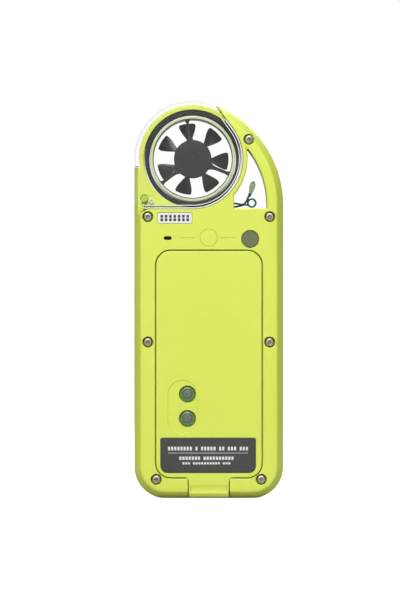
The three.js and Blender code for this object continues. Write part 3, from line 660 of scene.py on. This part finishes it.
def front_shell():
    levels = [(HALF_DEPTH - depth, grow) for depth, grow in reversed(CASE_EDGE)]
    shell = stack("front_shell", body, rounded_levels(SPLIT_FRONT, HALF_DEPTH, 0.18, 0)[:-1] + levels)
    shared_cuts(shell, False)
    (left, _, low), (right, _, high) = box_mm("display_window")
    cut(shell, hollow(SPLIT_FRONT - 1, ROOM_FRONT),
        pocket("cut", rounded(left, right, low, high, 3), HALF_DEPTH, 12.5, 0.15, SEAM - 0.05),
        stack("cut", rounded(left + 2, right - 2, low + 2, high - 2, 2), [(10, 0), (THROUGH, 0)]),
        pocket("cut", rounded(-17, 17, 7.5, 51.5, 5), HALF_DEPTH, 13, 0.5))
    for name in BUTTONS:
        cut(shell, pocket("cut", button_outline(name), 13, 11, 0.12, 0.22))
    dress(shell, MAT["case"], "case", "case_plastic", "front_case")


# ---- clear flip cover ----
def flip_cover():
    blank = stack("clear_cover", body, rounded_levels(-HALF_DEPTH, HALF_DEPTH, EDGE_ROUND, EDGE_ROUND))
    combine(blank, through(cover), "INTERSECT")
    inner = HALF_DEPTH - COVER_PLATE
    keep = block("rim", -50, 50, -50, 50, RIM_END_Z, 150)
    cut(keep, plate("cut", circle(HUB_X, HUB_Z, HEAD_RADIUS - COVER_RIM, 128), -60, 60, 0, 0))
    slab = block("slab", -49, 49, -inner, inner, 0, 149)
    cut(slab, keep)
    cut(blank, slab, through(circle(PIVOT_X, PIVOT_Z, PIN_RADIUS + 0.12)))
    dress(blank, MAT["clear"], "cover", "clear_plastic", "flip_cover")
    # Painted highlight: the plates' side walls and the rim take the near-opaque white edge material.
    blank.data.materials.append(MAT["clear_edge_highlight"])
    for face in blank.data.polygons:
        sideways = abs(face.normal.y) < 0.25
        x, y, z = (v / MM for v in face.center)
        in_plate = abs(y) > inner - 0.01
        outline_side = math.hypot(x - HUB_X, z - HUB_Z) > HEAD_RADIUS - 0.4 or x < -HALF_WIDTH + 0.2
        if sideways and (in_plate and not outline_side or z < RIM_END_Z + 0.1 and not in_plate):
            face.material_index = 1


def cover_trim():
    """The cover's details: two white strips along its edge, painted highlights where its clear edges catch
    light, and its detent bump, whose milky tone is also a painted highlight.
    """
    for side, name in ((-1, "back"), (1, "front")):
        face, deep = side * (HALF_DEPTH - 0.03), side * (HALF_DEPTH - COVER_PLATE + 0.05)
        low, high = min(face, deep), max(face, deep)
        # The detent bump's milky white tone is a painted highlight.
        bump = tube(f"cover_detent_{name}", 0.4, 0.85, low, high, PIVOT_X + 2.2, PIVOT_Z - 0.75, 0.12, 96)
        dress(bump, MAT["clear_boss_highlight"], "cover", "clear_plastic")
        # The strips named edge and bead are painted highlights, not moulded ribs.
        for line, outer, inner in (("edge", -0.02, -0.38), ("bead", -0.95, -1.2)):
            trim = stack(f"cover_{line}_{name}", cover, [(low, outer), (high, outer)])
            cut(trim, through(cover, inner, 30))
            combine(trim, through(body, -EDGE_ROUND - 0.3), "INTERSECT")
            dress(trim, MAT["clear_edge_highlight"], "cover", "clear_plastic")


# ---- battery door ----
def label_outline(grow):
    (left, _, low), (right, _, high) = box_mm("info_label")
    return rounded(left, right, low, high, 2.3, 0.6)(grow)


def battery_door():
    inner = DOOR_THICK - HALF_DEPTH
    panel = plate("door_panel", door, -HALF_DEPTH, inner, 0.22, 0.1, grow=-0.12, steps=4)
    slant = block("slant", -30, 30, 0, 6, -6, 0)
    slant.data.transform(shift(0, SEAM - HALF_DEPTH, DOOR_LOW) @ Matrix.Rotation(math.radians(56), 4, "X"))
    cut(slant, block("keep", -TAB_HALF, TAB_HALF, -THROUGH, 0, 0, 20))
    cut(panel, slant)
    tab = block("tab", -TAB_HALF, TAB_HALF, -HALF_DEPTH, inner, HINGE_Z, DOOR_LOW + 3)
    join(tab, bar_x("knuckle", HINGE_RADIUS, HINGE_Y, HINGE_Z, TAB_HALF, 64))
    for side in (-1, 1):
        join(tab, stack("fillet", tab_fillet(side), [(-HALF_DEPTH, 0), (inner, 0)]))
    cut(tab, bar_x("scoop", 5.0, -HALF_DEPTH - 4.72, 2.75, 5.9, 64))
    join(panel, tab)
    port_panel = rounded(*PORT_PANEL, 4.6, steps=12)
    cut(panel, bar_x("cut", HINGE_BORE, HINGE_Y, HINGE_Z, TAB_HALF + 1),
        pocket("cut", label_outline, -HALF_DEPTH, LABEL_FLOOR_Y, 0.05, 0.12),
        stack("cut", port_panel, [(-HALF_DEPTH - 0.37, 0.5), (-HALF_DEPTH + 0.13, 0)]))
    for x, z in PORTS:
        cut(panel, pocket("cut", circle(x, z, 2.75), -HALF_DEPTH, PORT_FLOOR_Y, 0.1),
            stack("cut", circle(x, z, 1.9), [(-THROUGH, 0), (0, 0)]))
    dress(panel, MAT["case"], "door", "case_plastic", "battery_door")
    for name, (x, z) in zip(("upper", "lower"), PORTS):
        dome = lathe(f"port_lens_{name}", [(0, -12.95), (1.5, -12.95), (1.62, -13.35), (2.15, -13.28),
                                           (2.55, -13.0), (2.6, -12.7), (1.7, -12.6), (0, -12.6)], x, z)
        dress(dome, MAT["port"], "door", "dark_window")
        eye = lathe(f"port_eye_{name}", [(0, -13.2), (1.1, -13.17), (1.35, -13.1), (1.46, -12.98),
                                         (1.46, -12.3), (0, -12.3)], x, z)
        dress(eye, MAT["port_dark"], "door", "dark_window", f"data_window_{name}")


def tab_fillet(side):
    """The concave corner between the door's lower edge and its tab."""
    def outline(_):
        radius = 1.0
        x, z = side * (TAB_HALF + radius), DOOR_LOW - radius
        inside, above = side * (TAB_HALF - 0.5), DOOR_LOW + 0.5
        curve = arc(x, z, radius, math.pi / 2, math.pi if side > 0 else 0, 8)
        return curve + [(inside, z), (inside, above), (x, above)]
    return outline


# ---- labels ----
def bars(name, material, body_name, slot, rows, y):
    """Rows of plain bars that stand for print. A row is (left, right, low, high, bars in each group, gap)."""
    points, faces = [], []
    for left, right, low, high, groups, gap in rows:
        count = sum(groups) + GROUP_GAP * (len(groups) - 1)
        pitch, x = (right - left + gap) / count, left
        for group in groups:
            for _ in range(group):
                end = x + pitch - gap
                start = len(points)
                points += [(x, y, low), (end, y, low), (end, y, high), (x, y, high)]
                points += [(px, y + 0.03, pz) for px, _, pz in points[start:start + 4]]
                quads = ([0, 1, 2, 3], [7, 6, 5, 4], [0, 4, 5, 1], [1, 5, 6, 2], [2, 6, 7, 3], [3, 7, 4, 0])
                faces += [[start + i for i in quad] for quad in quads]
                x += pitch
            x += pitch * GROUP_GAP
    dress(make_mesh(name, points, faces), material, body_name, slot)


def labels():
    face = -HALF_DEPTH + 0.03
    film = plate("info_film", label_outline, face, face + 0.12, 0.04, 0.02)
    dress(film, MAT["label"], "door", "label_black", "info_label")
    bars("info_print", MAT["ink"], "door", "label_black", [
        (-13.0, 12.5, 15.25, 16.45, (8, 1, 5, 2, 3, 3), 0.33),
        (-13.0, 12.5, 14.36, 14.5, (1,), 0.0),
        (-9.4, 7.9, 12.25, 13.3, (7, 10), 0.30),
        (-8.4, 6.9, 10.8, 11.5, (3, 10, 3), 0.26)], face - 0.02)
    (left, _, low), (right, _, high) = box_mm("serial_label")
    middle = (low + high) / 2
    film = plate("serial_film", rounded(left, right, low, high, 0.7), face, face + 0.12, 0.04, 0.02)
    dress(film, MAT["paper"], "case", "label_white", "serial_label")
    bars("serial_bars", MAT["black_ink"], "case", "label_white",
         [(left + 0.9, right - 0.9, low + 0.65, middle - 0.1, (7,), 0.55),
          (left + 0.9, right - 0.9, middle + 0.1, high - 0.65, (7,), 0.55)], face - 0.02)
    disc = plate("vent_film", circle(*VENT, 2.68), -13.8, -13.1, 0.08, 0.02)
    dress(disc, membrane_material(), "case", "membrane", "pressure_vent_membrane")


# ---- screws ----
def screws():
    for name, (x, z) in zip(SCREWS, SCREW_PLACES):
        top = box_mm(f"case_screw_{name}")[0][1]
        profile = [(0, top + 0.02), (0.8, top), (1.12, top + 0.08), (1.30, top + 0.25), (1.35, top + 0.5),
                   (1.35, top + 1.1), (0.8, top + 1.1), (0.8, SCREW_TIP_Y - 0.2), (0.4, SCREW_TIP_Y),
                   (0, SCREW_TIP_Y)]
        screw = lathe(f"screw_{name}", profile, x, z, 40)
        cut(screw, stack("star", star(x, z, 0.72, 0.46), [(top - 1, 0), (top + 0.8, 0)]))
        dress(screw, MAT["nickel"], "case", "screw_nickel", f"case_screw_{name}")


def star(x, z, outer, inner):
    """A six-lobed driver recess."""
    middle, reach = (outer + inner) / 2, (outer - inner) / 2
    return lambda _: [(x + (middle + reach * math.cos(6 * a)) * math.cos(a),
                       z + (middle + reach * math.cos(6 * a)) * math.sin(a))
                      for a in (2 * math.pi * i / 60 for i in range(60))]


# ---- impeller ----
def impeller():
    ring = tube("seal_ring", inner=13.95, outer=15.32, low=-12.25, high=12.25, soft=0.35)
    dress(ring, MAT["rubber"], "case", "rubber", "impeller_seal")
    housing = tube("housing_ring", inner=12.6, outer=13.68, low=-12.35, high=12.35, soft=0.25)
    dress(housing, MAT["housing"], "case", "clear_green_plastic", "impeller_housing")
    # Painted shade: a thin dark ring on the housing's rear inner rim stands for the shade line there.
    rim_shade_line = tube("housing_shade_line", inner=12.52, outer=12.75, low=-12.42, high=-12.2, soft=0.05)
    dress(rim_shade_line, MAT["dark"], "case", "dark_plastic")
    for side, name in ((-1, "rear"), (1, "front")):
        bearing_carrier(side, name)
    rotor()


def bearing_carrier(side, name):
    inner, outer = 8.4, 10.8
    dome = [(0, inner), (5.6, inner), (5.95, inner + 0.3), (6.0, outer - 0.7), (5.7, outer - 0.2),
            (4.6, outer), (1.9, outer - 0.05), (1.7, outer - 0.35), (0.9, outer - 0.4), (0.8, outer - 0.2),
            (0, outer - 0.15)]
    near, far = min(side * inner, side * outer) + 0.2, max(side * inner, side * outer) - 0.2
    hub = lathe(f"carrier_{name}", [(r, side * y) for r, y in dome], HUB_X, HUB_Z, 64)
    for degrees in STRUT_DEGREES:
        join(hub, stack("strut", strut_outline(math.radians(degrees)), [(near, 0), (far, 0)]))
    dress(hub, MAT["dark"], "case", "dark_plastic", f"bearing_carrier_{name}", f"axle_bearing_{name}")


def strut_outline(angle):
    """A strut from the hub to the housing, flared into the hub."""
    def outline(_):
        sides = [(5.2, 1.5), (6.2, 0.95), (7.2, 0.5), (8.4, 0.38), (11.6, 0.36), (12.3, 0.55), (12.7, 0.95)]
        edge = sides + [(r, -w) for r, w in reversed(sides)]
        cos, sin = math.cos(angle), math.sin(angle)
        return [(HUB_X + r * cos - w * sin, HUB_Z + r * sin + w * cos) for r, w in edge]
    return outline


def rotor():
    profile = [(0, -7.7), (2.6, -7.7), (3.5, -7.4), (5.2, -5.8), (5.7, -5.0), (5.7, 5.0), (5.2, 5.8),
               (3.5, 7.4), (2.6, 7.7), (0, 7.7)]
    hub = lathe("rotor", profile, HUB_X, HUB_Z, 64)
    for index in range(BLADES):
        join(hub, blade(FIRST_BLADE + 2 * math.pi * index / BLADES))
    cut(hub, stack("bore", circle(HUB_X, HUB_Z, 0.8, 24), [(-9, 0), (9, 0)]),
        stack("magnet seat", circle(HUB_X, HUB_Z, 3.1, 32), [(5.4, 0), (9, 0)]))
    dress(hub, MAT["dark"], "impeller", "dark_plastic", "impeller_rotor")


def blade(start):
    """A twisted petal, thickest at its middle; a span is the share of the full sweep at that radius."""
    sections = [(4.8, 0.34), (6.0, 0.46), (7.0, 0.70), (8.2, 0.92), (9.4, 1.06), (10.4, 1.1), (11.1, 1.06),
                (11.5, 0.94)]
    half_thickness, steps, count = 0.34, 14, len(sections)
    points, faces = [], []
    for skin in (-1, 1):
        for i in range(steps + 1):
            along = -1 + 2 * i / steps
            thick = half_thickness * (1 - 0.8 * abs(along) ** 3)
            for radius, span in sections:
                turn = start + span * BLADE_SWEEP * along / 2 + skin * thick / radius
                points.append((HUB_X + radius * math.cos(turn), -along * HALF_CHORD * (0.35 + 0.65 * span),
                               HUB_Z + radius * math.sin(turn)))
    layer = (steps + 1) * count
    for i in range(steps):
        for j in range(count - 1):
            a = i * count + j
            faces.append([a, a + 1, a + count + 1, a + count])
            faces.append([layer + a, layer + a + count, layer + a + count + 1, layer + a + 1])
    root = [i * count for i in range(steps - 1, 0, -1)]
    tip = [i * count + count - 1 for i in range(1, steps + 1)]
    rim = list(range(count)) + tip + [steps * count + j for j in range(count - 2, -1, -1)] + root
    faces += [[a, b, b + layer, a + layer] for a, b in zip(rim, rim[1:] + rim[:1])]
    return make_mesh("blade", points, faces)


# ---- temperature sensor ----
def wire_piece(name, points, radius, node):
    curve = bpy.data.curves.new(name, "CURVE")
    curve.dimensions, curve.bevel_depth, curve.bevel_resolution = "3D", radius * MM, 4
    curve.resolution_u, curve.use_fill_caps = 8, True
    spline = curve.splines.new("NURBS")
    spline.points.add(len(points) - 1)
    for knot, place in zip(spline.points, points):
        knot.co = (*(Vector(place) * MM), 1)
    spline.use_endpoint_u, spline.order_u = True, 4
    rough = bpy.data.objects.new(name, curve)
    bpy.context.collection.objects.link(rough)
    bpy.context.view_layer.update()
    mesh = bpy.data.meshes.new_from_object(rough.evaluated_get(bpy.context.evaluated_depsgraph_get()))
    bpy.data.objects.remove(rough)
    obj = bpy.data.objects.new(name, mesh)
    bpy.context.collection.objects.link(obj)
    dress(obj, MAT["wire"], "case", "wire_insulation", node)


def temperature_sensor():
    upper_z, lower_z = LEAD_HEIGHTS
    upper = [(6.8, 0, upper_z), (8.6, 0, 94.25), (9.8, 0, 94.0), (10.7, 0.1, 93.8), (11.4, 0.25, 94.0),
             (12.05, 0.35, 94.8), (12.4, 0.3, 95.7), (12.7, 0.15, 96.5), (13.2, 0, 97.1)]
    wire_piece("lead_upper", upper, 0.30, "temperature_lead_upper")
    lower = [(6.8, 0, lower_z), (8.6, 0, lower_z), (9.8, -0.05, 93.35), (10.8, -0.15, 93.65),
             (11.6, -0.3, 93.9)]
    loop_x, loop_z, loop_radius = 13.8, 94.35, 1.32
    for step in range(15):
        turn = math.radians(215 - 30 * step)
        lower.append((loop_x + loop_radius * math.cos(turn), -0.45 - 0.05 * step,
                      loop_z + loop_radius * math.sin(turn)))
    lower += [(12.3, -0.9, 95.3), (12.6, -0.6, 96.2), (13.2, -0.1, 97.1)]
    wire_piece("lead_lower", lower, 0.32, "temperature_lead_lower")
    knot = ball("lead_knot", (13.15, -0.05, 97.0), (0.50, 0.5, 0.75))
    dress(knot, MAT["wire"], "case", "wire_insulation")
    profile = [(0, 0), (0.32, 0.06), (0.5, 0.4), (0.66, 1.0), (0.82, 1.8), (0.92, 2.7), (0.9, 3.4),
               (0.74, 4.0), (0.45, 4.4), (0.18, 4.58), (0, 4.62)]
    bead = lathe("sensor_bead", profile, 0, 0, 40)
    turn = Matrix.Rotation(math.radians(14), 4, "Y") @ Matrix.Rotation(math.pi / 2, 4, "X")
    bead.data.transform(shift(13.3, 0, 96.9) @ turn)
    dress(bead, MAT["bead"], "case", "sensor_bead", "temperature_sensor_bead")


def ball(name, place, size):
    profile = [(math.sin(math.pi * i / 12), -math.cos(math.pi * i / 12)) for i in range(13)]
    obj = lathe(name, profile, 0, 0, 24)
    obj.data.transform(shift(*place) @ Matrix.Diagonal((*size, 1)))
    return obj


# ---- front: window, display and keys ----
def sector(middle):
    """A key of the direction pad, centred on the angle middle."""
    def outline(grow):
        inner, outer = PAD_INNER - grow, PAD_OUTER + grow
        wide, narrow = PAD_HALF + grow / outer, PAD_HALF + grow / inner
        return (arc(0, PAD_Z, outer, middle - wide, middle + wide, 20)
                + arc(0, PAD_Z, inner, middle + narrow, middle - narrow, 12))
    return outline


def button_outline(name):
    (left, _, low), (right, _, high) = box_mm(f"{name}_button")
    flange = 0.6
    left, right, low, high = left + flange, right - flange, low + flange, high - flange
    if name == "select":
        return circle((left + right) / 2, (low + high) / 2, (right - left) / 2)
    if name in DIRECTIONS:
        return sector(DIRECTIONS.index(name) * math.pi / 2)
    return rounded(left, right, low, high, (high - low) / 2 - 0.02)


def arrow(x, z, turn):
    corners = ((1.25, 0), (1.25, math.radians(128)), (0.45, math.pi), (1.25, math.radians(232)))
    return lambda _: [(x + r * math.cos(turn + a), z + r * math.sin(turn + a)) for r, a in corners]


def keys():
    top = box_mm("select_button")[1][1]
    for name in BUTTONS:
        outline = button_outline(name)
        cap = stack(f"{name}_cap", outline, [(10.6, 0.55), (11.2, 0.55), (11.2, 0), (13.2, 0),
                                             (top - 0.3, -0.04), (top - 0.08, -0.2), (top, -0.5)])
        if name in DIRECTIONS:
            turn = DIRECTIONS.index(name) * math.pi / 2
            glyph = arrow(ARROW_REACH * math.cos(turn), PAD_Z + ARROW_REACH * math.sin(turn), turn)
            cut(cap, stack("glyph", glyph, [(top - 0.12, 0), (top + 1, 0)]))
        dress(cap, MAT["button"], f"{name}_key", "button_rubber", f"{name}_button")


def display():
    (left, back, low), (right, front, high) = box_mm("display_window")
    pane = plate("window_pane", rounded(left, right, low, high, 2.7), back, front, 0.05, 0.2)
    dress(pane, MAT["clear"], "case", "clear_plastic", "display_window")
    mask = plate("window_mask", rounded(left + 0.1, right - 0.1, low + 0.1, high - 0.1, 2.6),
                 back - 0.17, back - 0.05, 0.02, 0.02)
    opening = rounded(left + 2.6, right - 2.6, low + 2.6, high - 2.6, 1.4)
    cut(mask, stack("cut", opening, [(0, 0), (THROUGH, 0)]))
    dress(mask, MAT["black_ink"], "case", "label_black")


def inner_pieces():
    """CAD nodes whose shape is already right."""
    finishes = {
        "case_gasket": "rubber", "door_gasket": "rubber", "keypad_mat": "rubber",
        "data_port_module": "dark", "door_hinge_pin": "dark", "cover_pivot_pin": "pin",
        "impeller_axle": "steel", "battery_spring": "steel", "rotor_magnet": "steel",
        "battery_contact_plate": "brass", "sensor_board": "board", "main_circuit_board": "board",
        "humidity_sensor": "package", "pressure_sensor": "package", "lcd_backlight": "diffuser",
    }
    for node, material in finishes.items():
        repaint(node, MAT[material])
    repaint("lcd_panel", display_material())


def repaint(node, material):
    obj = frame["nodes"][node]
    obj.data.materials.clear()
    obj.data.materials.append(material)
    rounding = obj.modifiers.new("soft edges", "BEVEL")
    rounding.width, rounding.segments, rounding.limit_method = 0.06 * MM, 2, "ANGLE"
    rounding.angle_limit = math.radians(40)


def cell():
    (left, near, low), (right, far, high) = box_mm("aa_cell")
    x, y, radius = (left + right) / 2, (near + far) / 2, (right - left) / 2
    profile = [(0, low), (radius - 1.6, low), (radius - 0.9, low + 0.15), (radius - 0.3, low + 0.25),
               (radius, low + 0.8), (radius, high - 2.0), (radius - 0.3, high - 1.45),
               (radius - 1.2, high - 1.2), (4.2, high - 1.15), (3.2, high - 1.0), (2.75, high - 0.8),
               (2.7, high - 0.2), (2.4, high), (0, high)]
    jacket = lathe("cell_jacket", profile, 0, 0, 64)
    jacket.data.transform(shift(x, y, 0) @ Matrix.Rotation(math.pi / 2, 4, "X"))
    dress(jacket, MAT["cell"], "case", "cell_jacket", "aa_cell")
    for material in ("steel", "cell_band"):
        jacket.data.materials.append(MAT[material])
    for face in jacket.data.polygons:
        height = face.center.z / MM
        if height < low + 0.7 or height > high - 1.35:
            face.material_index = 1
        elif height > high - 2.0:
            face.material_index = 2


# ---- stage ----
def light(name, place, size, power):
    """A round soft light aimed at the middle of the meter; its place and size are in metres."""
    data = bpy.data.lights.new(name, "AREA")
    data.shape, data.size, data.energy = "DISK", size, power
    lamp = bpy.data.objects.new(name, data)
    lamp.location = place
    aim = Vector((0, 0, 63.5)) * MM - Vector(place)
    lamp.rotation_euler = aim.to_track_quat("-Z", "Y").to_euler()
    bpy.context.collection.objects.link(lamp)


def world():
    """White behind the object, a softer grey for what falls on it, and dark cards at its two sides."""
    scene = bpy.context.scene
    scene.world = bpy.data.worlds.new("studio")
    scene.world.use_nodes = True
    tree = scene.world.node_tree
    seen = tree.nodes["Background"]
    seen.inputs["Color"].default_value, seen.inputs["Strength"].default_value = (1, 1, 1, 1), 1.02
    falls = tree.nodes.new("ShaderNodeBackground")
    falls.inputs["Color"].default_value = (0.93, 0.96, 1, 1)
    where = tree.nodes.new("ShaderNodeSeparateXYZ")
    tree.links.new(tree.nodes.new("ShaderNodeTexCoord").outputs["Generated"], where.inputs[0])
    sideways = tree.nodes.new("ShaderNodeMath")
    sideways.operation = "ABSOLUTE"
    tree.links.new(where.outputs["X"], sideways.inputs[0])
    dim = tree.nodes.new("ShaderNodeMapRange")
    dim.inputs["From Min"].default_value, dim.inputs["From Max"].default_value = 0.15, 0.8
    dim.inputs["To Min"].default_value, dim.inputs["To Max"].default_value = 0.22, 0.02
    tree.links.new(sideways.outputs[0], dim.inputs["Value"])
    tree.links.new(dim.outputs["Result"], falls.inputs["Strength"])
    mix = tree.nodes.new("ShaderNodeMixShader")
    tree.links.new(tree.nodes.new("ShaderNodeLightPath").outputs["Is Camera Ray"], mix.inputs["Fac"])
    tree.links.new(falls.outputs[0], mix.inputs[1])
    tree.links.new(seen.outputs[0], mix.inputs[2])
    tree.links.new(mix.outputs[0], tree.nodes["World Output"].inputs["Surface"])


def stage():
    reach, drop = 4000, 0.02
    corners = ((-reach, -reach), (reach, -reach), (reach, reach), (-reach, reach))
    floor = make_mesh("floor", [(x, y, -drop) for x, y in corners], [[0, 1, 2, 3]])
    n = Nodes("pale floor")
    tone = n.ramp(n.noise(6, 2), [(0.4, (0.48, 0.48, 0.48)), (0.6, (0.51, 0.51, 0.51))])
    n.set(Base_Color=tone, Roughness=0.9, Emission_Color=(1.0, 1.0, 1.0))
    seen = n.tree.nodes.new("ShaderNodeLightPath").outputs["Is Camera Ray"]
    n.link(n.spread(seen, 0.0, 0.96), n.shader.inputs["Emission Strength"])
    floor.data.materials.append(n.material)
    light("key", (-0.1, -1.05, 0.85), size=0.6, power=14.2)
    light("top", (0.0, -0.3, 1.0), size=0.4, power=4.0)
    light("front fill", (0.2, 1.1, 0.7), size=0.8, power=9.0)
    world()


def camera():
    distance, field_height, sensor, aim_x, aim_z = 2500, 191.4, 36, -2.8, 63.25
    data = bpy.data.cameras.new("camera")
    data.sensor_width, data.lens = sensor, sensor * distance / field_height
    data.clip_end = 20
    eye = bpy.data.objects.new("camera", data)
    eye.location = Vector((aim_x, -HALF_DEPTH - distance, aim_z)) * MM
    eye.rotation_euler = (math.pi / 2, 0, 0)
    bpy.context.collection.objects.link(eye)
    scene = bpy.context.scene
    scene.camera = eye
    scene.view_settings.view_transform = "Standard"


camera()
stage()
rear_shell()
front_shell()
flip_cover()
cover_trim()
battery_door()
labels()
screws()
impeller()
temperature_sensor()
keys()
display()
cell()
inner_pieces()
